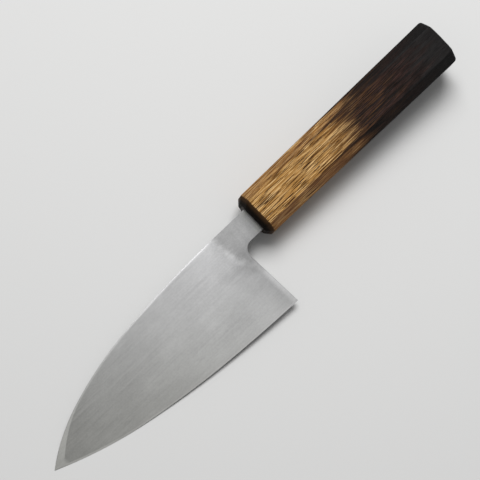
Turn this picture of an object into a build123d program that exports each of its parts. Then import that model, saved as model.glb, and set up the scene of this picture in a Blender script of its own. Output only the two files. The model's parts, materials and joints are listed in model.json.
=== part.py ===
from build123d import *
import math
import os

# A deba knife lying on a board with the hollow-ground back of its blade up. All lengths are in millimetres.
# It is drawn in the knife's own frame: the origin is the middle of the handle's front face, x runs to the
# tip, y runs to the cutting edge and z comes out of the hollow-ground back. At the end it is laid down.

# Blade, seen on its back
tip_reach = 158.2  # handle to tip
tip_below_axis = 22.4  # handle axis to tip, towards the edge
spine_above_axis = 6.3  # handle axis to the straight part of the spine
spine_bend_reach = 24.0  # handle to where the spine starts to curve down
heel_reach = 12.3  # handle to the corner of the heel
heel_below_axis = 45.6
heel_lean = 2.0  # how far the heel's line leans forward at the neck
neck_below_axis = 7.6
choil_radius = 5.5  # round corner between neck and heel
edge_start_slope = 1.4  # degrees, the edge's fall where it leaves the heel

# Points of the spine and the edge, as shares of the run to the tip and of the fall or rise to it
spine_shares = ((0.454, 0.111), (0.786, 0.456), (1, 1))
edge_shares = ((0.317, 0.099), (0.683, 0.392), (1, 1))

# Blade, through its thickness
neck_thickness = 5.6  # neck and spine, back to where the blade starts to thin
point_thickness = 1.7  # of the flat, carried on to the tip
edge_thickness = 0.15
bevel_angle = 11.5  # degrees, the single bevel against the flat back
steel_thickness = 1.5  # hard steel on the back, at the heel
steel_point_thickness = 0.7  # the same at the tip
steel_reach = 9.0  # handle to where the hard steel starts in the neck

# Hollow of the back
wheel_radius = 600.0  # of the wheel that ground it
hollow_rim = 0.8  # flat left along the spine and the edge
hollow_heel_rim = 1.6  # flat left along the heel
hollow_start_reach = 23.0  # handle to the hollow's start, at the spine
hollow_tip_rim = 7.9  # flat left between the hollow's end and the tip
hollow_end_rim = 5.0  # flat left above the hollow's end, towards the spine

# Stations along the hollow: share of its run at the spine, the same at the edge, share of the wheel's depth,
# and share of the extra rim near the tip
hollow_shares = (
    (0.0, 0.0, 0.08, 0),
    (0.06, 0.07, 0.75, 0),
    (0.16, 0.2, 1, 0),
    (0.42, 0.46, 1, 0),
    (0.66, 0.68, 1, 0),
    (0.84, 0.85, 1, 0.06),
    (0.94, 0.94, 1, 0.42),
    (1, 1, 0.6, 1),
)

# Tang, inside the handle
tang_length = 96.0
tang_end_height = 6.0
tang_end_thickness = 3.0

# Handle, an eight-sided bar that is a little larger at the butt
handle_length = 135.5
handle_front_height = 24.9
handle_front_thickness = 20.6
handle_front_facet = 4.5  # leg of each corner facet
handle_butt_height = 27.2
handle_butt_thickness = 22.2
handle_butt_facet = 4.9
front_chamfer = 3.0
butt_chamfer = 1.9
butt_crown = 1.1  # how far the butt's middle stands proud

# Socket in the handle, resin and seal
bedding_gap = 0.7  # resin between the tang and the wood
socket_spare = 1.5  # resin past the tang's end
pilot_radius = 3.0
pilot_depth = 108.0  # from the handle's front face
seal_lip = 1.0  # seal past the resin, all round
seal_depth = 1.6
seal_corner = 1.2

# How it lies: the edge touches the board at this share of its curve, counted from the heel
edge_contact_share = 0.85

overrun = 6.0  # how far cuts run past what they cut
finest_share = 1e-7  # how closely a point is found along a curve

back_level = neck_thickness / 2  # z of the blade's back
neck_height = spine_above_axis + neck_below_axis
neck_centre = (neck_below_axis - spine_above_axis) / 2  # y of the neck's and the tang's middle


def arc_chain(start, direction, points):
    """Arcs that run on smoothly from start through the points."""
    arcs = []
    for point in points:
        arc = TangentArc(start, point, tangent=direction)
        arcs.append(arc.edge())
        start = point
        direction = arc % 1
    return arcs


def spine_line():
    """The spine from the handle to the tip, straight at first."""
    bend = (spine_bend_reach, -spine_above_axis)
    run = tip_reach - spine_bend_reach
    fall = tip_below_axis + spine_above_axis
    points = [(bend[0] + run * u, bend[1] + fall * v) for u, v in spine_shares]
    straight = Line((0, -spine_above_axis), bend)
    return [straight.edge()] + arc_chain(bend, (1, 0), points)


def edge_line():
    """The cutting edge from the heel to the tip."""
    heel = (heel_reach, heel_below_axis)
    run = tip_reach - heel_reach
    rise = heel_below_axis - tip_below_axis
    points = [(heel[0] + run * u, heel[1] - rise * v) for u, v in edge_shares]
    slope = math.radians(edge_start_slope)
    return arc_chain(heel, (math.cos(slope), -math.sin(slope)), points)


def point_at_reach(line, reach):
    """The point of a line that runs towards the tip, at a given distance from the handle."""
    low, high = 0.0, 1.0
    while high - low > finest_share:
        middle = (low + high) / 2
        if (line @ middle).X < reach:
            low = middle
        else:
            high = middle
    return line @ low


def slab_under_back(depths):
    """Everything from the back down to a line of depths, each given at its distance from the handle."""
    (near, near_depth), (far, far_depth) = depths[-2:]
    end = far + overrun
    end_depth = far_depth + (far_depth - near_depth) * overrun / (far - near)
    points = [(depths[0][0], back_level), (end, back_level), (end, back_level - end_depth)]
    points += [(reach, back_level - depth) for reach, depth in reversed(depths[:-1])]
    outline = make_face(Polyline(*points, close=True))
    return extrude(Plane.XZ * outline, amount=heel_below_axis + overrun, both=True)


def blade_plan():
    """The blade and neck from above, as a face at the level of the back."""
    corner = (heel_reach + heel_lean, neck_below_axis)
    neck_low = (0, neck_below_axis)
    rear = FilletPolyline(neck_low, corner, (heel_reach, heel_below_axis), radius=choil_radius)
    front = Line(neck_low, (0, -spine_above_axis))
    sides = spine_line() + edge_line() + list(rear.edges()) + [front.edge()]
    return Pos(0, 0, back_level) * make_face(Wire(sides))


def bevel_cutter():
    """What the single bevel takes away, swept along the edge: its section is drawn inward and downward."""
    rise = math.tan(math.radians(bevel_angle))
    width = (neck_thickness + overrun) / rise
    deep = edge_thickness + width * rise
    arcs = edge_line()
    first, last = arcs[0], arcs[-1]
    lead_in = Line((first @ 0) - (first % 0) * overrun, first @ 0).edge()
    lead_out = Line(last @ 1, (last @ 1) + (last % 1) * overrun).edge()
    path = Pos(0, 0, back_level) * Wire([lead_in] + arcs + [lead_out])
    inward = (path % 0).cross(Vector(0, 0, 1))
    section = Plane(origin=path @ 0, x_dir=inward, z_dir=path % 0)
    profile = make_face(
        Polyline(
            (-overrun, edge_thickness - overrun * rise),
            (width, deep),
            (width, deep + overrun),
            (-overrun, deep + overrun),
            close=True,
        )
    )
    return sweep(section * profile, path=path)


def hollow_section(top, bottom, depth):
    """A shallow arc between two rims, closed above the back, at right angles to it."""
    chord = (bottom - top).length
    across = (bottom - top) / chord
    side = hollow_rim / 2
    lift = side * 4 * depth / chord
    plane = Plane(origin=top, x_dir=across, z_dir=across.cross(Vector(0, 0, 1)))
    floor = ThreePointArc((-side, lift), (chord / 2, -depth), (chord + side, lift))
    lid = Polyline((chord + side, lift), (chord + side, overrun), (-side, overrun), (-side, lift))
    return plane * make_face(Wire(list(floor.edges()) + list(lid.edges())))


def hollow_cutter():
    """The shallow hollow that is ground into the back, leaving a flat rim all round."""
    spine = Wire(spine_line())
    edge = Wire(edge_line())
    edge_start = heel_reach + hollow_heel_rim
    spine_run = tip_reach - hollow_tip_rim - hollow_start_reach
    edge_run = tip_reach - hollow_tip_rim - edge_start
    sections = []
    for spine_share, edge_share, depth_share, rim_share in hollow_shares:
        above = point_at_reach(spine, hollow_start_reach + spine_run * spine_share)
        below = point_at_reach(edge, edge_start + edge_run * edge_share)
        rim = hollow_rim + (hollow_end_rim - hollow_rim) * rim_share
        top = above + Vector(0, rim, back_level)
        bottom = below + Vector(0, -hollow_rim, back_level)
        depth = depth_share * (bottom - top).length ** 2 / (8 * wheel_radius)
        sections.append(hollow_section(top, bottom, depth))
    return loft(sections)


def cross_plane(reach, across):
    """A plane across the handle, behind its front face, that looks towards the tip."""
    return Plane(origin=(-reach, across, 0), x_dir=(0, 1, 0), z_dir=(1, 0, 0))


def tang_section(reach, grow):
    """The tang's rectangle at a distance behind the handle's front face, with room all round."""
    share = reach / tang_length
    height = neck_height + (tang_end_height - neck_height) * share
    thickness = neck_thickness + (tang_end_thickness - neck_thickness) * share
    return cross_plane(reach, neck_centre) * Rectangle(height + 2 * grow, thickness + 2 * grow)


def tang(grow, end):
    """The tang, or the room round it, from the handle's front face to its end."""
    return loft([tang_section(0, grow), tang_section(end, grow)], ruled=True)


def ground_blade():
    """The blade and neck with the thinning, the bevel and the hollow, both metals together."""
    blank = extrude(blade_plan(), amount=-neck_thickness)
    thinning_start = heel_reach + heel_lean
    depths = [(0, neck_thickness), (thinning_start, neck_thickness), (tip_reach, point_thickness)]
    return (blank & slab_under_back(depths)) - bevel_cutter() - hollow_cutter()


def steel_slab():
    """The room of the hard steel, which thins towards the tip as the blade does."""
    return slab_under_back([(steel_reach, steel_thickness), (tip_reach, steel_point_thickness)])


def hard_steel_layer():
    """The hard steel on the back: it takes the edge and the hollow."""
    return ground_blade() & steel_slab()


def soft_iron_body():
    """The soft iron that carries the steel: the flat, the bevel's upper part, the neck and the tang."""
    return ground_blade() - steel_slab() + tang(0, tang_length)


def handle_size(reach):
    """Half the handle's height, half its thickness and its facet's leg, behind its front face."""
    share = reach / handle_length
    height = handle_front_height + (handle_butt_height - handle_front_height) * share
    thickness = handle_front_thickness + (handle_butt_thickness - handle_front_thickness) * share
    facet = handle_front_facet + (handle_butt_facet - handle_front_facet) * share
    return height / 2, thickness / 2, facet


def handle_section(reach, inset):
    """The handle's eight-sided section, drawn in by an inset at its chamfered ends."""
    half_height, half_thickness, facet = handle_size(reach)
    y = half_height - inset
    z = half_thickness - inset
    leg = facet - inset * (2 - math.sqrt(2))
    corners = [(y - leg, z), (y, z - leg), (y, leg - z), (y - leg, -z)]
    corners += [(-across, up) for across, up in reversed(corners)]
    return cross_plane(reach, 0) * make_face(Polyline(*corners, close=True))


def butt_crown_cutter():
    """What is rounded off round the butt's slightly crowned end."""
    half = handle_butt_height / 2
    radius = (half**2 + butt_crown**2) / (2 * butt_crown)
    deep = butt_chamfer + butt_crown + overrun
    room = Pos(deep / 2 - overrun - handle_length, 0, 0) * Box(deep, 4 * half, 4 * half)
    return room - Pos(radius - handle_length, 0, 0) * Sphere(radius)


def socket():
    """The tapered socket in the wood, with room for resin all round the tang."""
    return tang(bedding_gap, tang_length + socket_spare)


def mouth_recess():
    """The recess for the seal in the handle's front face."""
    grow = bedding_gap + seal_lip
    outline = RectangleRounded(neck_height + 2 * grow, neck_thickness + 2 * grow, seal_corner)
    return extrude(cross_plane(0, neck_centre) * outline, amount=-seal_depth)


def handle_body():
    """The wooden handle with its socket, its pilot hole and the recess for the seal."""
    front = [(0, front_chamfer), (front_chamfer, 0)]
    butt = [(handle_length - butt_chamfer, 0), (handle_length, butt_chamfer)]
    bar = loft([handle_section(reach, inset) for reach, inset in front + butt], ruled=True)
    pilot = extrude(cross_plane(0, neck_centre) * Circle(pilot_radius), amount=-pilot_depth)
    return bar - butt_crown_cutter() - socket() - pilot - mouth_recess()


def tang_bedding():
    """The resin that fills the socket round the tang, up to the seal."""
    return socket() - tang(0, tang_length) - mouth_recess()


def mouth_seal():
    """The bead that closes the socket round the neck."""
    return mouth_recess() - tang(0, tang_length)


def resting_plane():
    """The board's plane in the knife's frame: it meets the handle's lower front corner and the edge's curve."""
    half_height, half_thickness, facet = handle_size(front_chamfer)
    corner = Vector(-front_chamfer, half_height - facet, -half_thickness)
    edge = Wire(edge_line())
    touch = (edge @ edge_contact_share) + Vector(0, 0, back_level - edge_thickness)
    up = (edge % edge_contact_share).cross(touch - corner)
    return Plane(origin=corner, x_dir=(-1, 0, 0), z_dir=up)


makers = (soft_iron_body, hard_steel_layer, handle_body, tang_bedding, mouth_seal)

# Laid on the board, with the origin under the middle of the whole knife
board = resting_plane()
pieces = {make.__name__: board.to_local_coords(make()) for make in makers}
box = Compound(list(pieces.values())).bounding_box()
shift = Pos(-box.center().X, -box.center().Y, -box.min.Z)

os.makedirs("parts", exist_ok=True)
for name, piece in pieces.items():
    placed = shift * piece
    placed.label = name
    export_step(placed, f"parts/{name}.step")
    print(name, len(placed.solids()), round(placed.volume, 1))
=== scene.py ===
import json
import math

import bpy
import numpy as np
from mathutils import Euler, Matrix, Vector, noise

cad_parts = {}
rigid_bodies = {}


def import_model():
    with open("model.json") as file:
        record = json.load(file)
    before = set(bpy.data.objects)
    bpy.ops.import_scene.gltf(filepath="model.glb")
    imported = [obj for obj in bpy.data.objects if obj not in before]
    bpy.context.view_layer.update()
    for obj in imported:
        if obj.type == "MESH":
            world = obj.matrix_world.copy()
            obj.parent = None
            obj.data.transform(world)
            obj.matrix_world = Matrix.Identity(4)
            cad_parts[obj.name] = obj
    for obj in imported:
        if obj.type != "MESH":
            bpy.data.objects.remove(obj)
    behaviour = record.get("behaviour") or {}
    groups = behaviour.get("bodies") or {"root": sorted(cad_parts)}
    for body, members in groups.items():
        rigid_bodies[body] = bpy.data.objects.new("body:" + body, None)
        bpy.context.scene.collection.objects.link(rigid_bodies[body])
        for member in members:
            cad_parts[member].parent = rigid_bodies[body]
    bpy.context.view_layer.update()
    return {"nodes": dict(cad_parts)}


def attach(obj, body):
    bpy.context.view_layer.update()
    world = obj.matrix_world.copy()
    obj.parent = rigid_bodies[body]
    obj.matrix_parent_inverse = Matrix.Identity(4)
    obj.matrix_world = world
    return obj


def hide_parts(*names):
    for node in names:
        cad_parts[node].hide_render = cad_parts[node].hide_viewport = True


for item in list(bpy.data.objects):  # the start-up cube, lamp and camera
    bpy.data.objects.remove(item)

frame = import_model()
print("frame loaded with", len(frame["nodes"]), "parts")

# The knife is modelled in millimetres in its own frame: the origin is the middle of the handle's front face,
# x runs to the tip, y to the cutting edge and z out of the hollow back. layDown brings it to the board.
board = {
    "rollToEdge": 11.0309,  # degrees that the back leans down towards the edge
    "dropToTip": 3.4523,  # degrees down towards the tip
    "frontFace": (0.0112063, 0.0153876, 0.0114496),  # metres, middle of the handle's front face
    "perMetre": 1000.0,  # millimetres in a metre
}
boardTurn = Euler((-math.radians(board["rollToEdge"]), math.radians(board["dropToTip"]), math.pi))
boardPlace = Matrix.Translation(board["frontFace"]) @ boardTurn.to_matrix().to_4x4()
laid = boardPlace @ Matrix.Scale(1 / board["perMetre"], 4)
# Cosines that tell which way a face or an edge runs
facing = {
    "exactly": 0.99,
    "mainly": 0.9,
    "upwards": 0.2,
}


def objectMode():
    if bpy.context.mode != "OBJECT":
        bpy.ops.object.mode_set(mode="OBJECT")


def editMode():
    bpy.ops.object.mode_set(mode="EDIT")


def deselectAll():
    objectMode()
    bpy.ops.object.select_all(action="DESELECT")


def selectOnly(piece):
    deselectAll()
    piece.select_set(True)
    bpy.context.view_layer.objects.active = piece


def startFrom(addPrimitive, name, **settings):
    # a primitive at its size and place, renamed
    deselectAll()
    addPrimitive(**settings)
    piece = bpy.context.object
    piece.name = name
    piece.data.name = name
    bpy.ops.object.transform_apply(location=True, rotation=True, scale=True)
    return piece


def pick(piece, kind, items, test):
    # leaves edit mode on, with only the items that pass the test selected
    bpy.context.tool_settings.mesh_select_mode = [kind == each for each in ("point", "edge", "face")]
    objectMode()
    for group in (piece.data.polygons, piece.data.edges, piece.data.vertices):
        group.foreach_set("select", [False] * len(group))
    for item in items:
        item.select = bool(test(item))
    editMode()


def pickPoints(piece, test):
    pick(piece, "point", piece.data.vertices, lambda point: test(point.co))


def pickEdges(piece, test):
    # the test gets both ends of each edge
    ends = piece.data.vertices
    pick(piece, "edge", piece.data.edges, lambda edge: test(*(ends[end].co for end in edge.vertices)))


def pickFaces(piece, test):
    # the test gets each face's centre and normal
    pick(piece, "face", piece.data.polygons, lambda face: test(face.center, face.normal))


def moveSelected(piece, place):
    # place gives each selected point its new position
    objectMode()
    for point in piece.data.vertices:
        if point.select:
            point.co = place(point.co)
    editMode()


def extrudeBy(x, z=0.0):
    bpy.ops.mesh.extrude_region_move(TRANSFORM_OT_translate={"value": (x, 0, z)})


def scaleFrom(centre, shares):
    bpy.ops.transform.resize(value=shares, center_override=centre)


def easeEdges(piece, test, width, segments):
    pickEdges(piece, test)
    bpy.ops.mesh.bevel(offset=width, segments=segments, affect="EDGES", clamp_overlap=False)
    objectMode()


def cutAway(piece, cutter):
    # Boolean difference, applied, and the cutter is thrown away
    selectOnly(piece)
    modifier = piece.modifiers.new("cut", "BOOLEAN")
    modifier.operation = "DIFFERENCE"
    modifier.solver = "EXACT"
    modifier.object = cutter
    bpy.ops.object.modifier_apply(modifier=modifier.name)
    bpy.data.objects.remove(cutter)


def layDown(piece, smoothAngle):
    # smooth shading up to an angle, then from the knife's millimetres to the board's metres
    selectOnly(piece)
    bpy.ops.object.shade_smooth_by_angle(angle=math.radians(smoothAngle))
    piece.matrix_world = laid
    bpy.ops.object.transform_apply(location=True, rotation=True, scale=True)


tiny = 0.01  # millimetres that count as nothing
# Outline of the blade, seen on its back, and its thickness
blade = {
    "tip": (158.2, 22.4),
    "spineLevel": -6.3,
    "spineBend": 24.0,  # where the spine starts to curve down
    "heel": (12.3, 45.6),
    "heelLean": 2.0,  # the heel's line leans forward to the neck
    "neckLower": 7.6,
    "choilRadius": 5.5,
    "edgeStartSlope": 1.4,  # degrees
    "spineShares": ((0.454, 0.111), (0.786, 0.456), (1, 1)),
    "edgeShares": ((0.317, 0.099), (0.683, 0.392), (1, 1)),
    "back": 2.8,
    "neckThickness": 5.6,
    "pointThickness": 1.7,
    "edgeThickness": 0.15,
    "bevelAngle": 11.5,  # degrees
    "steelStart": 9.0,
    "steelThickness": 1.5,
    "steelPointThickness": 0.7,
    "tangLength": 96.0,
    "tangEndHeight": 6.0,
    "tangEndThickness": 3.0,
    "columns": 170,
    "arcSteps": 40,
    "neckSteps": 6,
    "choilSteps": 14,
    "steelRows": (13, 19),  # points from the rim to the choil's level, and on to the weld line
    "steelBevelRows": (0.35, 0.7, 1),
    "ironRows": (9, 5),
    "ironBevelRows": 9,
    "endRun": 3,  # points back from each end of the edge that give its direction there
    "digits": 4,  # decimals that tell one level from another
    "mergeWithin": 0.05,  # points closer than this are one
    "neckBackPast": 1.0,  # the steel's finish covers the neck's back, and this much more at both ends
}
# Hollow of the back
hollow = {
    "wheelRadius": 600.0,
    "rim": 0.8,
    "heelRim": 1.6,
    "tipRim": 5.0,  # the rim widens to this towards the tip
    "widensFrom": 125.0,
    "endReach": 152.6,
    "neckRoom": 5.9,  # the wheel starts this far past the heel's line at the neck
    "neckRoomFrom": 9.0,
    "neckRoomTo": 22.0,
    "runIn": 16.0,  # length over which the wheel sinks to its depth
    "runOut": 3.0,  # length over which it rises again before the tip
    "crest": 0.06,  # half the width of the line between rim and hollow
    "crestSlip": 0.045,  # points that lie less than this inside the upper rim's line still count as rim
    "mattTo": 24.5,  # the neck's matt finish ends here, and nearer the neck towards the heel
    "mattBends": ((-2.4, 0.25), (20.0, 0.9)),
}


def turned(direction, angle):
    c, s = math.cos(angle), math.sin(angle)
    return np.array((direction[0] * c - direction[1] * s, direction[0] * s + direction[1] * c))


def smoothArcs(start, heading, ends, steps):
    # arcs that run on smoothly through the given points
    line = [np.array(start, float)]
    for end in ends:
        start = line[-1]
        chord = np.array(end, float) - start
        across = heading[0] * chord[1] - heading[1] * chord[0]
        half = math.atan2(across, float(heading @ chord))
        for step in range(1, steps + 1):
            share = step / steps
            reach = math.sin(share * half) / math.sin(half)
            line.append(start + turned(heading, share * half) * np.linalg.norm(chord) * reach)
        heading = turned(heading, 2 * half)
    return np.array(line)


def spineLine():
    bend = (blade["spineBend"], blade["spineLevel"])
    run, fall = blade["tip"][0] - bend[0], blade["tip"][1] - bend[1]
    ends = [(bend[0] + run * u, bend[1] + fall * v) for u, v in blade["spineShares"]]
    curve = smoothArcs(bend, np.array((1.0, 0.0)), ends, blade["arcSteps"])
    return np.vstack([(-blade["tangLength"], bend[1]), curve])


def edgeLine():
    heel, tip = blade["heel"], blade["tip"]
    run, rise = tip[0] - heel[0], tip[1] - heel[1]
    ends = [(heel[0] + run * u, heel[1] + rise * v) for u, v in blade["edgeShares"]]
    slope = math.radians(blade["edgeStartSlope"])
    return smoothArcs(heel, np.array((math.cos(slope), -math.sin(slope))), ends, blade["arcSteps"])


spine = spineLine()
edge = edgeLine()
# the edge with straight ends, so that the bevel runs out past the heel and the tip
edgeRun = np.vstack([2 * edge[0] - edge[blade["endRun"]], edge, 2 * edge[-1] - edge[-1 - blade["endRun"]]])
bevelRise = math.tan(math.radians(blade["bevelAngle"]))


def spineAt(x):
    return np.interp(x, spine[:, 0], spine[:, 1])


def edgeAt(x):
    return np.interp(x, edge[:, 0], edge[:, 1])


def heelAt(y):
    # the heel's line, carried on up to the spine
    lean = blade["heelLean"] / (blade["heel"][1] - blade["neckLower"])
    return blade["heel"][0] + (blade["heel"][1] - y) * lean


def edgeDistance(x, y):
    along = edgeRun[1:] - edgeRun[:-1]
    offset = np.stack([x, y], -1)[..., None, :] - edgeRun[:-1]
    share = np.clip((offset * along).sum(-1) / (along * along).sum(-1), 0, 1)
    return np.linalg.norm(offset - share[..., None] * along, axis=-1).min(-1)


def smoothStep(value):
    value = np.clip(value, 0, 1)
    return value * value * (3 - 2 * value)


def flatThickness(x):
    start = blade["heel"][0] + blade["heelLean"]
    return np.interp(x, (start, blade["tip"][0]), (blade["neckThickness"], blade["pointThickness"]))


def steelThickness(x):
    ends = (blade["steelStart"], blade["tip"][0])
    return np.interp(x, ends, (blade["steelThickness"], blade["steelPointThickness"]))


def undersideAt(x, y):
    bevel = blade["edgeThickness"] + edgeDistance(x, y) * bevelRise
    return blade["back"] - np.minimum(flatThickness(x), bevel)


def interfaceAt(x):
    return blade["back"] - steelThickness(x)


def spineRim(x):
    widening = np.clip((x - hollow["widensFrom"]) / (hollow["endReach"] - hollow["widensFrom"]), 0, 1)
    return hollow["rim"] + (hollow["tipRim"] - hollow["rim"]) * widening**2


def hollowStart(y):
    nearNeck = 1 - smoothStep((y - hollow["neckRoomFrom"]) / (hollow["neckRoomTo"] - hollow["neckRoomFrom"]))
    return heelAt(y) + hollow["heelRim"] + hollow["neckRoom"] * nearNeck


def pastMatt(x, y):
    # how far past the neck's matt finish the point lies
    return x - hollow["mattTo"] + sum(slope * np.maximum(0, y - bend) for bend, slope in hollow["mattBends"])


def hollowAt(x, y):
    # how deep the hollow is, and how far into it the point lies
    top = spineAt(x) + spineRim(x)
    chord = np.maximum(edgeAt(x) - hollow["rim"] - top, tiny)
    share = np.clip((y - top) / chord, 0, 1)
    sunk = 1 - (1 - np.clip((x - hollowStart(y)) / hollow["runIn"], 0, 1)) ** 2
    depth = sunk * chord**2 / (8 * hollow["wheelRadius"]) * 4 * share * (1 - share)
    runOut = smoothStep((hollow["endReach"] - x) / hollow["runOut"])
    past = np.clip((x - hollowStart(y)) / hollow["heelRim"], 0, 1) * runOut
    inside = np.where((y - top > hollow["crestSlip"]) & (share < 1), past, 0)
    return depth * runOut, inside


def planOfBlade(parts):
    # points in columns from the spine to the edge; parts gives each row's distance from the spine
    t = np.linspace(0, 1, blade["columns"])
    spineX = heelAt(blade["spineLevel"]) + (blade["tip"][0] - heelAt(blade["spineLevel"])) * t
    edgeX = blade["heel"][0] + (blade["tip"][0] - blade["heel"][0]) * t
    upper = np.stack([spineX, spineAt(spineX)], -1)
    lower = np.stack([edgeX, edgeAt(edgeX)], -1)
    length = np.linalg.norm(lower - upper, axis=-1)
    direction = (lower - upper) / np.maximum(length, tiny)[:, None]
    slope = np.hypot(1, np.gradient(edgeAt(edgeX), edgeX))
    rows = np.array(parts(edgeX, spineX, length, slope))
    rows = np.minimum(np.maximum.accumulate(np.maximum(rows, 0), axis=0), length)
    return upper[:, None, :] + direction[:, None, :] * rows.T[:, :, None]


def choilPoint(share):
    # along the choil's curve, from the neck to the heel's line
    lean = math.atan2(blade["heelLean"], blade["heel"][1] - blade["neckLower"])
    radius = blade["choilRadius"]
    centreY = blade["neckLower"] + radius
    centreX = heelAt(centreY) - radius / math.cos(lean)
    angle = (math.pi / 2 + lean) * share
    return centreX + radius * math.sin(angle), centreY - radius * math.cos(angle)


def mergePoints():
    bpy.ops.mesh.select_all(action="SELECT")
    bpy.ops.mesh.remove_doubles(threshold=blade["mergeWithin"])
    bpy.ops.mesh.delete_loose()


def sheetFromPlan(name, plan):
    # a grid whose points are drawn out between the spine and the edge
    columns, rows = plan.shape[0] - 1, plan.shape[1] - 1
    add = bpy.ops.mesh.primitive_grid_add
    piece = startFrom(add, name, x_subdivisions=columns, y_subdivisions=rows, size=1, location=(0, 0, 0))
    for point in piece.data.vertices:
        x, y = plan[round((point.co.x + 0.5) * columns), round((point.co.y + 0.5) * rows)]
        point.co = (x, y, 0)
    editMode()
    mergePoints()
    return piece


def drawOutNeck(piece, stations):
    # extrudes the upper part of the heel's line back along the choil and the neck
    lowest = choilPoint(1)[1] + tiny
    pickPoints(piece, lambda p: p.y < lowest and abs(p.x - heelAt(p.y)) < tiny)
    objectMode()
    first = sorted(point.co.y for point in piece.data.vertices if point.select)
    shares = {round(y, blade["digits"]): (y - first[0]) / (first[-1] - first[0]) for y in first}
    editMode()
    for spineX, lowX, lowY in stations:
        bpy.ops.mesh.extrude_region_move()
        upper = Vector((spineX, blade["spineLevel"], 0))
        lower = Vector((lowX, lowY, 0))
        nextShares = {}

        def place(point):
            share = shares[round(point.y, blade["digits"])]
            moved = upper.lerp(lower, share)
            nextShares[round(moved.y, blade["digits"])] = share
            return moved

        moveSelected(piece, place)
        shares = nextShares


def neckStations(endReach, straight):
    # (reach at the spine, reach and level at the neck's lower line), from the heel's line to the handle
    stations = []
    lean = heelAt(blade["spineLevel"]) - choilPoint(1)[0]
    for step in range(blade["choilSteps"] - 1, -1, -1):
        share = step / blade["choilSteps"]
        x, y = choilPoint(share)
        if x > endReach + tiny * 10:
            stations.append((x + lean * share**2, x, y))
    for x in straight:
        stations.append((x, x, blade["neckLower"]))
    return stations


def thicken(piece, topAt, bottomAt):
    # extrudes the sheet and gives its upper and lower points their levels
    lift = 1.0
    editMode()
    bpy.ops.mesh.select_all(action="SELECT")
    extrudeBy(0, lift)
    objectMode()
    points = piece.data.vertices
    place = np.array([point.co for point in points])
    upper = place[:, 2] > lift / 2
    top = topAt(place[:, 0], place[:, 1])
    bottom = np.minimum(bottomAt(place[:, 0], place[:, 1]), top)
    place[:, 2] = np.where(upper, top, bottom)
    points.foreach_set("co", place.ravel())
    editMode()
    mergePoints()
    bpy.ops.mesh.select_all(action="SELECT")
    bpy.ops.mesh.normals_make_consistent(inside=False)
    objectMode()


def spread(start, end, parts):
    return [start + (end - start) * part for part in parts]


def weldLine(edgeX, length, slope):
    # distance from the spine of the line where the two metals meet on the bevel
    return length - (steelThickness(edgeX) - blade["edgeThickness"]) / bevelRise * slope


def steelRows(edgeX, spineX, length, slope):
    # rows of the hard steel: both sides of each rim's crest, the choil, the weld line and the edge
    crest = hollow["crest"]
    above, below = blade["steelRows"]
    weld = weldLine(edgeX, length, slope)
    rim = np.minimum(spineRim(spineX), length / 2)
    lowRim = length - hollow["rim"] * slope
    start = rim + crest
    choilPart = (choilPoint(1)[1] - blade["spineLevel"] - start[0]) / (weld[0] - start[0])
    rows = [length * 0, rim - crest, start]
    rows += spread(start, weld, np.linspace(0, choilPart, above)[1:])
    rows += spread(start, weld, np.linspace(choilPart, 1, below)[1:])
    rows += spread(weld, lowRim - crest, blade["steelBevelRows"])
    rows += [lowRim + crest, length]
    return rows


def ironRows(edgeX, spineX, length, slope):
    # rows of the soft iron: the choil, both sides of the bevel's upper line, and the weld line
    crest = hollow["crest"]
    above, below = blade["ironRows"]
    weld = weldLine(edgeX, length, slope)
    bevelTop = length - (flatThickness(edgeX) - blade["edgeThickness"]) / bevelRise * slope
    choilPart = (choilPoint(1)[1] - blade["spineLevel"]) / (bevelTop[0] - crest)
    rows = spread(length * 0, bevelTop - crest, np.linspace(0, choilPart, above))
    rows += spread(length * 0, bevelTop - crest, np.linspace(choilPart, 1, below)[1:])
    rows += spread(bevelTop + crest, weld, np.linspace(0, 1, blade["ironBevelRows"]))
    return rows


def onSpine(point):
    return abs(point.y - spineAt(point.x)) < tiny


def onNeck(point):
    # the neck's lower line, the choil's curve or the heel's line
    radius = blade["choilRadius"]
    centreX, centreY = choilPoint(0)[0], blade["neckLower"] + radius
    away = math.hypot(point.x - centreX, point.y - centreY)
    onCurve = abs(away - radius) < tiny and point.y < choilPoint(1)[1] and point.x > centreX
    onLine = abs(point.y - blade["neckLower"]) < tiny and point.x < centreX + tiny
    onHeel = abs(point.x - heelAt(point.y)) < tiny and point.y > choilPoint(1)[1] - tiny
    return onCurve or onLine or onHeel


def makeHardSteel():
    ease = {"width": 0.22, "segments": 2, "beforeTip": 2.5, "beforeHeel": 0.9}
    piece = sheetFromPlan("hardSteel", planOfBlade(steelRows))
    drawOutNeck(piece, neckStations(blade["steelStart"], [blade["steelStart"]]))
    thicken(
        piece,
        lambda x, y: blade["back"] - hollowAt(x, y)[0],
        lambda x, y: np.maximum(interfaceAt(x), undersideAt(x, y)),
    )

    def upperRim(a, b):
        if min(a.z, b.z) < blade["back"] - tiny:
            return False
        alongSpine = onSpine(a) and onSpine(b) and max(a.x, b.x) < blade["tip"][0] - ease["beforeTip"]
        alongHeel = onNeck(a) and onNeck(b) and max(a.y, b.y) < blade["heel"][1] - ease["beforeHeel"]
        return alongSpine or alongHeel

    easeEdges(piece, upperRim, ease["width"], ease["segments"])
    return piece


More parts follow.
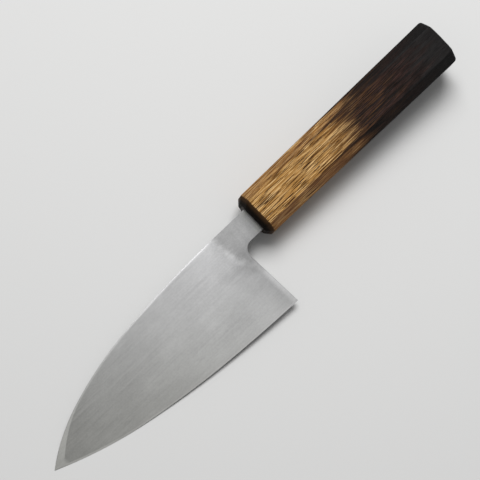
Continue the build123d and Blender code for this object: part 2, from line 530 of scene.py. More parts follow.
def makeSoftIron():
    ease = {"width": 0.4, "neckWidth": 0.22, "segments": 2, "beforeTip": 9.0}
    piece = sheetFromPlan("softIron", planOfBlade(ironRows))
    start = blade["steelStart"]
    neck = [start, start - 2 * tiny] + list(np.linspace(start, 0, blade["neckSteps"] + 1)[1:])
    drawOutNeck(piece, neckStations(start, neck))
    thicken(
        piece,
        lambda x, y: np.where(x < start - tiny, blade["back"], interfaceAt(x)),
        undersideAt,
    )

    # the tang, drawn out of the neck's end and tapered
    height = blade["neckLower"] - blade["spineLevel"]
    taper = (1, blade["tangEndHeight"] / height, blade["tangEndThickness"] / blade["neckThickness"])
    middle = (blade["neckLower"] + blade["spineLevel"]) / 2
    pickFaces(piece, lambda centre, normal: centre.x < tiny and normal.x < -facing["mainly"])
    extrudeBy(-blade["tangLength"])
    scaleFrom((-blade["tangLength"], middle, 0), taper)

    def openRim(a, b):
        outline = (onSpine(a) and onSpine(b)) or (onNeck(a) and onNeck(b))
        inReach = min(a.x, b.x) > -tiny and max(a.x, b.x) < blade["tip"][0] - ease["beforeTip"]
        flat = max(a.z + flatThickness(a.x), b.z + flatThickness(b.x)) < blade["back"] + tiny
        return outline and inReach and flat

    def neckRim(a, b):
        lower = max(abs(a.y - blade["neckLower"]), abs(b.y - blade["neckLower"])) < tiny
        onTop = min(a.z, b.z) > blade["back"] - tiny
        return (lower or (onSpine(a) and onSpine(b))) and onTop and -tiny < min(a.x, b.x) < start

    easeEdges(piece, openRim, ease["width"], ease["segments"])
    easeEdges(piece, neckRim, ease["neckWidth"], ease["segments"])
    return piece


handleBar = {
    "length": 135.5,
    "frontHeight": 24.9,
    "frontThickness": 20.6,
    "facet": 4.5,  # leg of each corner facet
    "buttHeight": 27.2,
    "buttThickness": 22.2,
    "ridgeRound": 0.3,
    "ridgeSteps": 3,
    "ridgeReach": 0.7,  # how far from a ridge its early burn fades
    "frontChamfer": 3.0,
    "chamferEase": 0.9,  # radius of the chamfer's worn ridges
    "chamferSteps": 3,
    "buttRound": 1.9,
    "crown": 0.4,  # the butt's middle stands proud
    "buttFall": 0.8,  # the butt falls away towards the spine's and the edge's sides
    "roundSteps": 6,
    "crownShares": (0.8, 0.6, 0.4, 0.2),  # rings of the crown, as shares of the butt's flat
    "facetCuts": ((13, 20, 13), (8, 13, 9), (3, 8, 5)),  # widths from, to, cuts
    "lengthCuts": 60,
    "relief": 0.16,  # how far the burnt and brushed surface dips
    "reliefSize": (0.03, 0.22, 0.22),
    "grainRelief": 0.05,
    "grainSize": (0.05, 1.3, 1.3),
    # the eight facets, from the back round by the edge's side: how singed they are, partly painted shade on
    # facets turned from the light; how late they burn; and their char's painted sheen (the back) and painted
    # shade (the rest)
    "singesAndShades": (0.1, 0.72, 0.5, 0.3, 0.2, 0.3, 0.4, 0.42),
    "burnDelays": (0, 1, -4, 3, 9, -5, 2, 9),
    "charSheensAndShades": (1.0, 0.45, 0.5, 0.6, 0.8, 0.6, 0.45, 0.4),
}
# Socket in the handle: its mouth and its end, and the hole drilled first
socket = {
    "middle": 0.65,
    "mouthHeight": 15.3,
    "mouthThickness": 7.0,
    "endHeight": 7.28,
    "endThickness": 4.36,
    "depth": 97.5,
    "drill": 3.0,
    "drillDepth": 108.0,
    "drillSides": 32,
    "recessHeight": 17.3,
    "recessThickness": 9.0,
    "recessDepth": 1.6,
    "recessCorner": 1.2,
    "recessSteps": 4,
    "past": 0.5,  # cutters start this far in front of the face that they cut
}


def boxBetween(name, nearX, farX, height, thickness, middle):
    add = bpy.ops.mesh.primitive_cube_add
    size = (abs(nearX - farX), height, thickness)
    return startFrom(add, name, size=1, location=((nearX + farX) / 2, middle, 0), scale=size)


def lengthwise(a, b):
    return abs(a.x - b.x) > facing["exactly"] * (a - b).length


def closeEnd(piece, outward, half, rings):
    # extrudes the end face through rings, each given by its reach and how far it is drawn in
    pickFaces(piece, lambda centre, normal: normal.x * outward > facing["exactly"])
    reach, inset = rings[0]
    for nextReach, nextInset in rings[1:]:
        scale = (1, (half[0] - nextInset) / (half[0] - inset), (half[1] - nextInset) / (half[1] - inset))
        extrudeBy(nextReach - reach)
        scaleFrom((nextReach, 0, 0), scale)
        reach, inset = nextReach, nextInset


def roundedRings(reach, outward, radius, steps):
    angles = np.linspace(0, math.pi / 2, steps + 1)
    return [(reach + outward * radius * math.sin(a), radius * (1 - math.cos(a))) for a in angles]


def chamferRings(size, radius, steps):
    # a chamfer up to the front face at 0, with both of its ridges eased
    ease = radius * math.tan(math.pi / 8)
    angles = np.linspace(0, math.pi / 4, steps + 1)
    outer = [(-size - ease + radius * math.sin(a), radius * (1 - math.cos(a))) for a in angles]
    return outer + [(-inset, -reach) for reach, inset in reversed(outer)]


def makeHandle():
    bar = handleBar
    ease = bar["chamferEase"] * math.tan(math.pi / 8)
    front = -bar["frontChamfer"] - ease
    butt = -bar["length"] + bar["crown"] + bar["buttRound"]
    piece = boxBetween("handle", front, butt, bar["frontHeight"], bar["frontThickness"], 0)
    easeEdges(piece, lengthwise, bar["facet"], 1)
    pickPoints(piece, lambda p: p.x < butt / 2)
    swell = (1, bar["buttHeight"] / bar["frontHeight"], bar["buttThickness"] / bar["frontThickness"])
    scaleFrom((butt, 0, 0), swell)
    easeEdges(piece, lengthwise, bar["ridgeRound"], bar["ridgeSteps"])
    for least, most, cuts in bar["facetCuts"]:
        pickEdges(piece, lambda a, b: not lengthwise(a, b) and least < (a - b).length < most)
        bpy.ops.mesh.subdivide(number_cuts=cuts)

    # the front chamfered, the butt rounded and crowned
    frontRings = chamferRings(bar["frontChamfer"], bar["chamferEase"], bar["chamferSteps"])
    closeEnd(piece, 1, (bar["frontHeight"] / 2, bar["frontThickness"] / 2), frontRings)
    half = (bar["buttHeight"] / 2, bar["buttThickness"] / 2)
    buttRings = roundedRings(butt, -1, bar["buttRound"], bar["roundSteps"])
    flat = half[1] - bar["buttRound"]
    for share in bar["crownShares"]:
        buttRings.append((-bar["length"] + bar["crown"] * share**2, half[1] - flat * share))
    closeEnd(piece, -1, half, buttRings)
    pickPoints(piece, lambda p: p.x < butt + tiny)
    moveSelected(piece, lambda p: Vector((p.x + bar["buttFall"] * (p.y / half[0]) ** 2, p.y, p.z)))
    pickEdges(piece, lambda a, b: abs(a.x - b.x) > bar["length"] / 2)
    bpy.ops.mesh.subdivide(number_cuts=bar["lengthCuts"])

    # burnt and brushed wood is never quite flat
    objectMode()
    for point in piece.data.vertices:
        broad = noise.noise(point.co * Vector(bar["reliefSize"]))
        fine = noise.noise(point.co * Vector(bar["grainSize"]))
        dip = bar["relief"] * (0.5 + 0.5 * broad) + bar["grainRelief"] * (0.5 + 0.5 * fine)
        point.co -= point.normal * dip

    cutAway(piece, makeRecess("recess", socket["past"]))
    height, thickness = socket["mouthHeight"], socket["mouthThickness"]
    tangRoom = boxBetween("tangRoom", 0, -socket["depth"], height, thickness, socket["middle"])
    pickPoints(tangRoom, lambda p: p.x < -tiny)
    narrow = (1, socket["endHeight"] / height, socket["endThickness"] / thickness)
    scaleFrom((-socket["depth"], socket["middle"], 0), narrow)
    cutAway(piece, tangRoom)
    drill = startFrom(
        bpy.ops.mesh.primitive_cylinder_add,
        "drill",
        vertices=socket["drillSides"],
        radius=socket["drill"],
        depth=socket["drillDepth"],
        location=(-socket["drillDepth"] / 2, socket["middle"], 0),
        rotation=(0, math.pi / 2, 0),
    )
    cutAway(piece, drill)
    return piece


def makeRecess(name, past):
    # the rounded block that the seal fills
    height, thickness = socket["recessHeight"], socket["recessThickness"]
    piece = boxBetween(name, past, -socket["recessDepth"], height, thickness, socket["middle"])
    easeEdges(piece, lengthwise, socket["recessCorner"], socket["recessSteps"])
    return piece


def makeMouthSeal():
    meniscus = {"width": 0.7, "dip": 0.25, "steps": 2}
    piece = makeRecess("mouthSeal", 0)
    pickFaces(piece, lambda centre, normal: normal.x > facing["exactly"])
    for step in range(meniscus["steps"]):
        depth = -meniscus["dip"] / meniscus["steps"]
        bpy.ops.mesh.inset(thickness=meniscus["width"] / meniscus["steps"], depth=depth)
    height, thickness = blade["neckLower"] - blade["spineLevel"], blade["neckThickness"]
    neck = boxBetween("neck", socket["past"], -2 * socket["recessDepth"], height, thickness, socket["middle"])
    cutAway(piece, neck)
    return piece


def addNode(tree, kind, inputs=None, **settings):
    # inputs may be numbers, colours or the outputs of other nodes
    node = tree.nodes.new("ShaderNode" + kind)
    for name, value in settings.items():
        setattr(node, name, value)
    for name, value in (inputs or {}).items():
        if isinstance(value, bpy.types.NodeSocket):
            tree.links.new(value, node.inputs[name])
        else:
            node.inputs[name].default_value = value
    return node


def newFinish(name):
    finish = bpy.data.materials.new(name)
    finish.use_nodes = True
    return finish, finish.node_tree, finish.node_tree.nodes["Principled BSDF"]


def knifePoint(tree):
    # object coordinates turned into the knife's own frame, in millimetres
    back = boardPlace.inverted()
    turn = {
        "Vector": addNode(tree, "TexCoord").outputs["Object"],
        "Scale": [board["perMetre"]] * 3,
        "Rotation": back.to_euler(),
        "Location": back.translation * board["perMetre"],
    }
    return addNode(tree, "Mapping", turn).outputs["Vector"]


def noiseAt(tree, point, stretch, detail, roughness=0.55, offset=(0, 0, 0)):
    turn = {"Vector": point, "Scale": stretch, "Location": offset}
    place = addNode(tree, "Mapping", turn).outputs["Vector"]
    settings = {"Vector": place, "Scale": 1.0, "Detail": detail, "Roughness": roughness}
    return addNode(tree, "TexNoise", settings).outputs["Fac"]


def marked(tree, name):
    return addNode(tree, "Attribute", attribute_name=name).outputs["Fac"]


def calculate(tree, operation, first, second=0.0, third=0.0):
    return addNode(tree, "Math", {0: first, 1: second, 2: third}, operation=operation).outputs[0]


def product(tree, first, second):
    return calculate(tree, "MULTIPLY", first, second)


def weighted(tree, first, share, second):
    # that share of the first number and the rest of the second
    return calculate(tree, "MULTIPLY_ADD", first, share, product(tree, second, 1 - share))


def swing(tree, value, amount, around=0.0):
    # a noise from 0 to 1 made to swing by that amount round another number
    return calculate(tree, "MULTIPLY_ADD", calculate(tree, "SUBTRACT", value, 0.5), amount, around)


def between(tree, value, low, high, outLow=0.0, outHigh=1.0):
    inputs = {"Value": value, "From Min": low, "From Max": high, "To Min": outLow, "To Max": outHigh}
    return addNode(tree, "MapRange", inputs, interpolation_type="SMOOTHSTEP").outputs["Result"]


def overlap(tree, first, firstLimits, second, secondLimits):
    return product(tree, between(tree, first, *firstLimits), between(tree, second, *secondLimits))


def nearOne(tree, value, limits, contrast):
    # 1 give or take the contrast
    return between(tree, value, *limits, 1 - contrast, 1 + contrast)


def blend(tree, share, first, second):
    ends = [end if isinstance(end, bpy.types.NodeSocket) else (*end, 1) for end in (first, second)]
    return addNode(tree, "Mix", {0: share, 6: ends[0], 7: ends[1]}, data_type="RGBA").outputs[2]


def scaled(tree, colour, amount):
    return addNode(tree, "VectorMath", {0: colour, "Scale": amount}, operation="SCALE").outputs["Vector"]


def toned(tree, colour, share, change):
    # lighter or darker by up to that change, where share is 1
    return scaled(tree, colour, calculate(tree, "MULTIPLY_ADD", share, change, 1.0))


def colourRamp(tree, value, positions, colours):
    node = addNode(tree, "ValToRGB", {"Fac": value})
    ramp = node.color_ramp
    while len(ramp.elements) < len(positions):
        ramp.elements.new(0.5)
    for element, position, colour in zip(ramp.elements, positions, colours):
        element.position = position
        element.color = (*colour, 1)
    return node.outputs["Color"]


def dress(tree, shader, colour, rough, height, look, bump="bump"):
    # the look's relief is the height of the bumps in metres
    tree.links.new(colour, shader.inputs["Base Color"])
    tree.links.new(rough, shader.inputs["Roughness"])
    bumps = addNode(tree, "Bump", {"Height": height, "Strength": look[bump], "Distance": look["relief"]})
    tree.links.new(bumps.outputs["Normal"], shader.inputs["Normal"])


# Ground steel: brightest by the spine behind the neck, duller and a little greener towards the tip, a painted
# light falloff, with the faint streaks of the wheel along the blade; the neck is matt and blotchy.
# Along and across mean x and y in the knife's millimetres, and the second number may be the lower one.
steelFinish = {
    "bright": (0.515, 0.515, 0.52),
    "dull": (0.290, 0.290, 0.276),
    "fall": (0.0, 190.0),
    "acrossShare": 1.5,  # the tone, a painted light falloff, falls this much as fast towards the edge as towards the tip
    "heelDrop": 0.165,  # duller still by the heel
    "heelAlong": (62.0, 36.0),
    "heelAcross": (8.0, 32.0),
    "neck": (0.33, 0.33, 0.33),
    "neckBlot": 6.0,
    "neckFade": (-6.0, 6.0),
    "neckMottle": 0.34,
    "choilDark": 0.19,
    "choilAbove": (4.0, 10.0),
    "choilBelow": (21.0, 12.0),
    "paintedMouthShade": 0.13,  # painted shade: the neck is duller by the handle
    "paintedMouthShadeAlong": (8.0, 4.0),
    "mouthLift": 0.9,  # offsets the handle's dark reflection, which the photo doesn't show
    "mouthLiftAlong": (2.2, 0.2),
    "patina": (0.25, 0.26, 0.20),
    "patinaShare": 0.25,
    "patinaAlong": (6.0, 0.5),
    "patinaPatches": (0.42, 0.62),
    "pitColour": (0.14, 0.14, 0.14),
    "pitShare": 0.6,
    "pitRange": (0.69, 0.76),
    "pitPatches": (0.5, 0.6),
    # the rims' gains are a painted highlight, stronger towards the tip
    "rimGain": 1.2,
    "tipRimGain": 1.42,
    "tipRimAlong": (115.0, 148.0),
    "streak": (0.035, 1.9, 1.9),
    "fineStreak": (0.3, 5.0, 5.0),
    "streakShare": 0.55,
    "cloud": (0.045, 0.07, 0.07),
    "mottle": (0.28, 0.28, 0.28),
    "sand": (1.1, 1.1, 1.1),
    "pit": (1.5, 1.5, 1.5),
    "contrast": 0.045,
    "contrastRange": (0.36, 0.64),
    "cloudContrast": 0.045,
    "cloudRange": (0.32, 0.68),
    "sandContrast": 0.03,
    "sandRange": (0.35, 0.65),
    "roughLow": 0.4,
    "roughHigh": 0.47,
    "roughRange": (0.35, 0.65),
    "rimRough": 0.46,
    "mattRough": 0.6,
    "bump": 0.5,
    "relief": 0.00002,
}


def groundSteel():
    look = steelFinish
    finish, tree, shader = newFinish("groundSteel")
    point = knifePoint(tree)
    split = addNode(tree, "SeparateXYZ", {"Vector": point}).outputs
    along, across = split["X"], split["Y"]
    streak = noiseAt(tree, point, look["streak"], detail=4)
    fine = noiseAt(tree, point, look["fineStreak"], detail=3)
    cloud = noiseAt(tree, point, look["cloud"], detail=3)
    mottle = noiseAt(tree, point, look["mottle"], detail=4, roughness=0.6)
    grain = weighted(tree, streak, look["streakShare"], fine)

    # painted light falloff: the tone dulls along the blade, and faster towards the edge
    fall = calculate(tree, "MULTIPLY_ADD", across, look["acrossShare"], along)
    hollowTone = blend(tree, between(tree, fall, *look["fall"]), look["bright"], look["dull"])
    # painted highlight: the rims lighter than the hollow, more so towards the tip
    rim = calculate(tree, "SUBTRACT", 1.0, marked(tree, "ground"))
    paintedRimHighlight = between(tree, along, *look["tipRimAlong"], look["rimGain"] - 1, look["tipRimGain"] - 1)
    hollowTone = toned(tree, hollowTone, rim, paintedRimHighlight)
    byHeel = overlap(tree, along, look["heelAlong"], across, look["heelAcross"])
    hollowTone = toned(tree, hollowTone, byHeel, -look["heelDrop"])

    # the wheel fades in unevenly past the neck
    past = swing(tree, mottle, look["neckBlot"], marked(tree, "pastMatt"))
    wheel = between(tree, past, *look["neckFade"])
    stain = overlap(tree, along, look["patinaAlong"], mottle, look["patinaPatches"])
    neckTone = blend(tree, product(tree, stain, look["patinaShare"]), look["neck"], look["patina"])
    pits = noiseAt(tree, point, look["pit"], detail=2)
    pits = overlap(tree, pits, look["pitRange"], mottle, look["pitPatches"])
    neckTone = blend(tree, product(tree, pits, look["pitShare"]), neckTone, look["pitColour"])
    byChoil = overlap(tree, across, look["choilAbove"], across, look["choilBelow"])
    neckTone = toned(tree, neckTone, byChoil, -look["choilDark"])
    # painted shade on the neck nearest the handle, fading out by 8 mm
    neckTone = toned(tree, neckTone, between(tree, along, *look["paintedMouthShadeAlong"]), -look["paintedMouthShade"])
    neckTone = toned(tree, neckTone, between(tree, along, *look["mouthLiftAlong"]), look["mouthLift"])
    colour = blend(tree, wheel, neckTone, hollowTone)

    shade = nearOne(tree, grain, look["contrastRange"], look["contrast"])
    shade = product(tree, shade, nearOne(tree, cloud, look["cloudRange"], look["cloudContrast"]))
    shade = between(tree, wheel, 0, 1, swing(tree, mottle, look["neckMottle"], 1.0), shade)
    sand = noiseAt(tree, point, look["sand"], detail=2)
    sand = nearOne(tree, sand, look["sandRange"], look["sandContrast"])
    colour = scaled(tree, colour, product(tree, shade, sand))
    rough = between(tree, grain, *look["roughRange"], look["roughLow"], look["roughHigh"])
    rough = between(tree, rim, 0, 1, rough, look["rimRough"])
    rough = between(tree, wheel, 0, 1, look["mattRough"], rough)
    shader.inputs["Metallic"].default_value = 1.0
    dress(tree, shader, colour, rough, grain, look)
    return finish


# Soft iron: satin flat, and a bevel hazed on the stones up to the bright line of hard steel
ironFinish = {
    "satinDark": (0.36, 0.36, 0.355),
    "satinLight": (0.50, 0.50, 0.495),
    "mist": (0.40, 0.405, 0.41),
    "mistLight": (0.50, 0.50, 0.50),
    "brightSteel": (0.57, 0.57, 0.575),
    "brightDark": (0.48, 0.48, 0.485),
    "toneRange": (0.35, 0.65),
    "streak": (0.04, 1.7, 1.7),
    "streakShare": 0.7,
    "stoneStreak": (0.05, 1.3, 0.8),
    "stoneShare": 0.6,
    "cloud": (0.06, 0.09, 0.09),
    "wave": (0.16, 0.16, 0.16),
    "waveHeight": 3.6,
    "mistStart": (-0.2, 0.5),  # millimetres above the wavy line
    "rough": 0.4,
    "roughSpread": 0.06,
    "roughRange": (0.3, 0.7),
    "mistRough": 0.5,
    "steelRough": 0.28,
    "bevelContrast": 0.08,
    "bump": 0.5,
    "bevelBump": 0.4,
    "relief": 0.00002,
}


def satinIron():
    look = ironFinish
    finish, tree, shader = newFinish("satinIron")
    point = knifePoint(tree)
    streak = noiseAt(tree, point, look["streak"], detail=7)
    cloud = noiseAt(tree, point, look["cloud"], detail=3)
    tone = weighted(tree, streak, look["streakShare"], cloud)
    colour = colourRamp(tree, tone, look["toneRange"], (look["satinDark"], look["satinLight"]))
    least, most = look["rough"] - look["roughSpread"], look["rough"] + look["roughSpread"]
    rough = between(tree, tone, *look["roughRange"], least, most)
    shader.inputs["Metallic"].default_value = 1.0
    dress(tree, shader, colour, rough, streak, look)
    return finish


def mistedBevel():
    # fromWeld is 0 at the weld line and grows away from the edge; the haze starts along a wavy line there
    look = ironFinish
    finish, tree, shader = newFinish("mistedBevel")
    point = knifePoint(tree)
    wave = noiseAt(tree, point, look["wave"], detail=4)
    stone = noiseAt(tree, point, look["stoneStreak"], detail=5)
    cloud = noiseAt(tree, point, look["cloud"], detail=4)
    start = swing(tree, wave, look["waveHeight"], marked(tree, "fromWeld"))
    mist = between(tree, start, *look["mistStart"])
    tone = weighted(tree, stone, look["stoneShare"], cloud)
    haze = colourRamp(tree, tone, look["toneRange"], (look["mist"], look["mistLight"]))
    bright = colourRamp(tree, tone, look["toneRange"], (look["brightDark"], look["brightSteel"]))
    rough = between(tree, mist, 0, 1, look["steelRough"], look["mistRough"])
    rough = product(tree, rough, nearOne(tree, tone, look["roughRange"], look["bevelContrast"]))
    shader.inputs["Metallic"].default_value = 1.0
    dress(tree, shader, blend(tree, mist, bright, haze), rough, stone, look, "bevelBump")
    return finish


# Charred oak: golden and open-grained, burnt to black at the butt and round its front end, where painted
# shade darkens it further
woodFinish = {
    "brown": (0.22, 0.098, 0.020),
    "golden": (0.42, 0.215, 0.055),
    "tan": (0.54, 0.29, 0.086),
    "woodStops": (0.42, 0.50, 0.58),
    "pale": (0.95, 0.635, 0.29),
    "paleShare": 0.62,
    "pore": (0.045, 0.016, 0.004),
    "poreShare": 0.95,
    "plum": (0.15, 0.062, 0.030),
    "toasted": (0.105, 0.045, 0.018),
    "toastShare": 0.85,
    "scorched": (0.010, 0.0065, 0.0055),
    "redStreak": (0.045, 0.021, 0.017),
    "redRange": (0.46, 0.60),
    "orangeStreak": (0.19, 0.085, 0.028),
    "orangeShare": 0.33,
    "charcoal": (0.0140, 0.0128, 0.0126),
    # the front face's char with painted shade on it
    "endCharAndShade": (0.0060, 0.0034, 0.0016),
    "endBurn": (0.055, 0.027, 0.010),
    "band": (0.012, 0.35, 0.35),
    "fibre": (0.08, 3.6, 3.6),
    "fibreShare": 0.75,
    "light": (0.062, 2.7, 2.7),
    "lightRange": (0.535, 0.57),
    "pores": (0.09, 2.9, 2.9),
    "poreRange": (0.545, 0.58),
    "blots": (0.05, 0.25, 0.25),
    "blotRange": (0.36, 0.58),
    "blotLeast": 0.5,
    "wobble": (0.03, 0.25, 0.25),
    "facetShift": 23.0,  # each facet cuts other fibres
    "toastFrom": 40.0,  # behind the handle's front
    "burnFrom": 57.0,
    "burnTo": 77.0,
    "blackFrom": 100.0,
    "blackTo": 126.0,
    "burnWobble": 32.0,
    "fibreWobble": 20.0,
    "lightWobble": 0.3,  # the light streaks burn later
    "ridgeLead": 22.0,  # ridges burn earlier by this
    "frontBurnAndShade": (3.7, 3.2),  # behind the handle's front, like the wear of the burnt rim, with painted shade on the chamfer
    "frontWobble": 1.0,
    "wearAndShadeAlong": (0.3, 3.2),
    "wearAndShadeRange": (0.1, 1.0),
    "roughDark": 0.74,
    "roughLight": 0.58,
    "roughRange": (0.35, 0.65),
    "charRough": 0.55,
    "specular": 0.1,
    "lightRise": 0.35,
    "poreDepth": 0.6,
    "bump": 0.8,
    "relief": 0.0003,
}


def charredWood():
    look = woodFinish
    finish, tree, shader = newFinish("charredWood")
    point = knifePoint(tree)
    along = product(tree, addNode(tree, "SeparateXYZ", {"Vector": point}).outputs["X"], -1.0)
    shift = product(tree, marked(tree, "facet"), look["facetShift"])
    shift = addNode(tree, "CombineXYZ", {"X": shift, "Y": shift}).outputs["Vector"]
    cut = addNode(tree, "VectorMath", {0: point, 1: shift}, operation="ADD").outputs["Vector"]
    band = noiseAt(tree, cut, look["band"], detail=3, offset=(3, 2, 2))
    fibre = noiseAt(tree, cut, look["fibre"], detail=3, roughness=0.6)
    light = noiseAt(tree, cut, look["light"], detail=1, roughness=0.5, offset=(5, 1, 8))
    light = between(tree, light, *look["lightRange"])
    pores = noiseAt(tree, cut, look["pores"], detail=1, roughness=0.5, offset=(7, 3, 5))
    pores = between(tree, pores, *look["poreRange"])
    tone = weighted(tree, fibre, look["fibreShare"], band)
    wood = colourRamp(tree, tone, look["woodStops"], (look["brown"], look["golden"], look["tan"]))
    wood = blend(tree, product(tree, light, look["paleShare"]), wood, look["pale"])
    wood = blend(tree, product(tree, pores, look["poreShare"]), wood, look["pore"])
    blots = noiseAt(tree, cut, look["blots"], detail=4, roughness=0.6, offset=(4, 4, 1))
    blots = between(tree, blots, *look["blotRange"], look["blotLeast"], 1.0)
    # singe blots, partly painted shade on the facets turned from the light
    wood = blend(tree, product(tree, marked(tree, "singeAndShade"), blots), wood, look["plum"])

    # the burn creeps forward along some fibres and along the ridges
    wobble = noiseAt(tree, cut, look["wobble"], detail=4, roughness=0.6, offset=(2, 9, 4))
    burnt = calculate(tree, "SUBTRACT", along, marked(tree, "burnDelay"))
    burnt = swing(tree, wobble, look["burnWobble"], burnt)
    burnt = calculate(tree, "MULTIPLY_ADD", marked(tree, "ridge"), look["ridgeLead"], burnt)
    streaky = calculate(tree, "MULTIPLY_ADD", light, look["lightWobble"], fibre)
    burnt = swing(tree, streaky, -look["fibreWobble"], burnt)
    toast = product(tree, between(tree, burnt, look["toastFrom"], look["burnTo"]), look["toastShare"])
    wood = blend(tree, toast, wood, look["toasted"])
    embers = blend(tree, between(tree, tone, *look["redRange"]), look["scorched"], look["redStreak"])
    glow = product(tree, between(tree, burnt, look["blackFrom"], look["burnTo"]), light)
    embers = blend(tree, product(tree, glow, look["orangeShare"]), embers, look["orangeStreak"])
    black = between(tree, burnt, look["blackFrom"], look["blackTo"])
    # each facet's char scaled by a painted sheen on the back and painted shade on the others
    char = scaled(tree, blend(tree, black, embers, look["charcoal"]), marked(tree, "charSheenAndShade"))
    scorch = between(tree, burnt, look["burnFrom"], look["burnTo"])
    wood = blend(tree, scorch, wood, char)

    # the front end and its rim are burnt too, darkest on the front face by painted shade, and worn a little
    # browner towards the rim
    rimBurnAndShade = between(tree, swing(tree, fibre, look["frontWobble"], along), *look["frontBurnAndShade"])
    wearAndShade = swing(tree, tone, 1.0, between(tree, along, *look["wearAndShadeAlong"]))
    rimWood = blend(tree, between(tree, wearAndShade, *look["wearAndShadeRange"]), look["endCharAndShade"], look["endBurn"])
    wood = blend(tree, rimBurnAndShade, wood, rimWood)
    rough = between(tree, tone, *look["roughRange"], look["roughDark"], look["roughLight"])
    rough = between(tree, scorch, 0, 1, rough, look["charRough"])
    height = calculate(tree, "MULTIPLY_ADD", light, look["lightRise"], tone)
    height = calculate(tree, "MULTIPLY_ADD", pores, -look["poreDepth"], height)
    shader.inputs["Specular IOR Level"].default_value = look["specular"]
    dress(tree, shader, wood, rough, height, look)
    return finish


# Resin round the tang: nearly black, with a little amber where it is thin
resinFinish = {
    "dark": (0.008, 0.006, 0.005),
    "amber": (0.030, 0.015, 0.007),
    "amberRange": (0.35, 0.7),
    "cloud": (0.5, 0.5, 0.5),
    "roughLow": 0.35,
    "roughHigh": 0.6,
    "roughRange": (0.3, 0.7),
    "bump": 0.4,
    "relief": 0.0001,
    "specular": 0.25,
}


def socketResin():
    look = resinFinish
    finish, tree, shader = newFinish("socketResin")
    cloud = noiseAt(tree, knifePoint(tree), look["cloud"], detail=4)
    colour = colourRamp(tree, cloud, look["amberRange"], (look["dark"], look["amber"]))
    rough = between(tree, cloud, *look["roughRange"], look["roughLow"], look["roughHigh"])
    shader.inputs["Specular IOR Level"].default_value = look["specular"]
    dress(tree, shader, colour, rough, cloud, look)
    return finish


def weldDistance(x, y):
    return edgeDistance(x, y) - (steelThickness(x) - blade["edgeThickness"]) / bevelRise


def onBevel(face):
    # facing down, and nearer the edge than the bevel's upper line
    x, y = np.array([face.center.x]), np.array([face.center.y])
    width = (flatThickness(x) - blade["edgeThickness"]) / bevelRise
    return face.normal.z < -facing["mainly"] and edgeDistance(x, y)[0] < width[0]


def ridgeCloseness(x, y, z):
    # 1 on the handle's long ridges, fading to 0 over a millimetre or two
    bar = handleBar
    share = np.clip(-x / bar["length"], 0, 1)
    height = (bar["frontHeight"] + (bar["buttHeight"] - bar["frontHeight"]) * share) / 2
    thickness = (bar["frontThickness"] + (bar["buttThickness"] - bar["frontThickness"]) * share) / 2
    facet = bar["facet"] * height * 2 / bar["frontHeight"]
    y, z = abs(y) - height, abs(z) - thickness
    away = np.minimum(np.hypot(y + facet, z), np.hypot(y, z + facet))
    return np.exp(-((away / bar["ridgeReach"]) ** 2))


def mark(piece, name, domain, values):
    # keeps a number at each point or face for the materials
    marks = piece.data.attributes.new(name, "FLOAT", domain)
    marks.data.foreach_set("value", np.array(values, np.float32))


def facetOf(normal):
    # 0 to 7 round the handle, from the back by the edge's side; both ends count as the back
    turn = math.atan2(normal.y, normal.z) / (math.pi / 4)
    return 0 if abs(normal.x) > facing["mainly"] else round(turn) % 8


hardSteel = makeHardSteel()
softIron = makeSoftIron()
print("blade forged:", len(hardSteel.data.vertices), "and", len(softIron.data.vertices), "points")
handle = makeHandle()
mouthSeal = makeMouthSeal()
print("handle and seal made:", len(handle.data.vertices), "points")

groundFinish, ironSatin, bevelFinish = groundSteel(), satinIron(), mistedBevel()
woodSurface, resin = charredWood(), socketResin()
for piece in (hardSteel, softIron):
    x, y, z = np.array([point.co for point in piece.data.vertices]).T
    mark(piece, "fromWeld", "POINT", weldDistance(x, y))
    mark(piece, "ground", "POINT", hollowAt(x, y)[1] * (z > 0))
    mark(piece, "pastMatt", "POINT", pastMatt(x, y))
    for surface in (groundFinish, bevelFinish, ironSatin):
        piece.data.materials.append(surface)
for face in hardSteel.data.polygons:
    face.material_index = 1 if onBevel(face) else 0
for face in softIron.data.polygons:
    byNeck = -blade["neckBackPast"] < face.center.x < blade["steelStart"] + blade["neckBackPast"]
    onNeckBack = byNeck and face.normal.z > facing["upwards"]
    face.material_index = 0 if onNeckBack else 1 if onBevel(face) else 2
mark(handle, "ridge", "POINT", ridgeCloseness(*np.array([point.co for point in handle.data.vertices]).T))
facets = [facetOf(face.normal) for face in handle.data.polygons]
mark(handle, "facet", "FACE", facets)
for name, tones in (("singeAndShade", "singesAndShades"), ("burnDelay", "burnDelays"), ("charSheenAndShade", "charSheensAndShades")):
    mark(handle, name, "FACE", [handleBar[tones][facet] for facet in facets])
handle.data.materials.append(woodSurface)
mouthSeal.data.materials.append(resin)
bedding = frame["nodes"]["tang_bedding"]
bedding.data.materials.clear()
bedding.data.materials.append(resin)
print("finishes on")

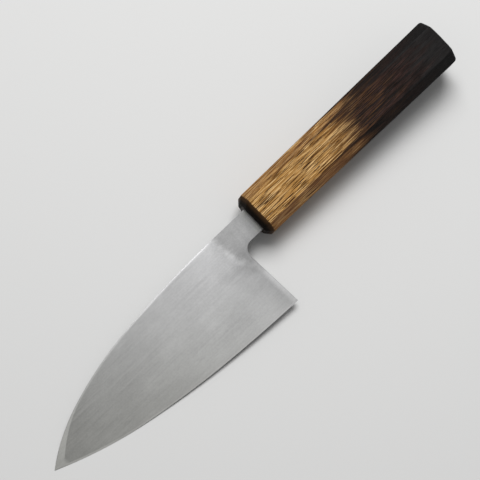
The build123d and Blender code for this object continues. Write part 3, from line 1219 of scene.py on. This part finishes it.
for piece, smoothAngle in ((hardSteel, 14), (softIron, 14), (handle, 40), (mouthSeal, 30)):
    layDown(piece, smoothAngle)
    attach(piece, "root")
for piece, node, slot in (
    (hardSteel, "hard_steel_layer", "hard_steel"),
    (softIron, "soft_iron_body", "soft_iron"),
    (handle, "handle_body", "charred_wood"),
    (mouthSeal, "mouth_seal", "seal_resin"),
):
    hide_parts(node)

# Board, light and camera
studio = {
    "boardSize": 6.0,
    "boardColour": (0.66, 0.66, 0.655, 1),
    "boardRough": 0.8,
    "surroundings": (0.8, 0.8, 0.8, 1),
    "surroundingsStrength": 0.34,
    "keyPlace": (0.42, 0.38, 1.15),
    "keySize": 0.8,
    "keyWatts": 16,
    "cameraPlace": (-0.2275819, -0.2010737, 0.9581662),
    "cameraTurn": (18.1642, -0.7583, -44.5041),  # degrees
    "cameraLens": 148.35,
}


def makeStudio():
    add = bpy.ops.mesh.primitive_plane_add
    floor = startFrom(add, "floor", size=studio["boardSize"], location=(0, 0, 0))
    paint, _, shader = newFinish("paleBoard")
    shader.inputs["Base Color"].default_value = studio["boardColour"]
    shader.inputs["Roughness"].default_value = studio["boardRough"]
    floor.data.materials.append(paint)

    world = bpy.data.worlds.new("surroundings")
    bpy.context.scene.world = world
    world.use_nodes = True
    background = world.node_tree.nodes["Background"].inputs
    background["Color"].default_value = studio["surroundings"]
    background["Strength"].default_value = studio["surroundingsStrength"]

    bpy.ops.object.light_add(type="AREA", location=studio["keyPlace"])
    key = bpy.context.object
    key.name = "keyLight"
    key.rotation_euler = Vector(studio["keyPlace"]).to_track_quat("Z", "Y").to_euler()
    key.data.size = studio["keySize"]
    key.data.energy = studio["keyWatts"]

    turn = [math.radians(angle) for angle in studio["cameraTurn"]]
    bpy.ops.object.camera_add(location=studio["cameraPlace"], rotation=turn)
    camera = bpy.context.object
    camera.data.lens = studio["cameraLens"]
    bpy.context.scene.camera = camera
    bpy.context.scene.view_settings.view_transform = "Standard"


deselectAll()
makeStudio()
print("studio set")
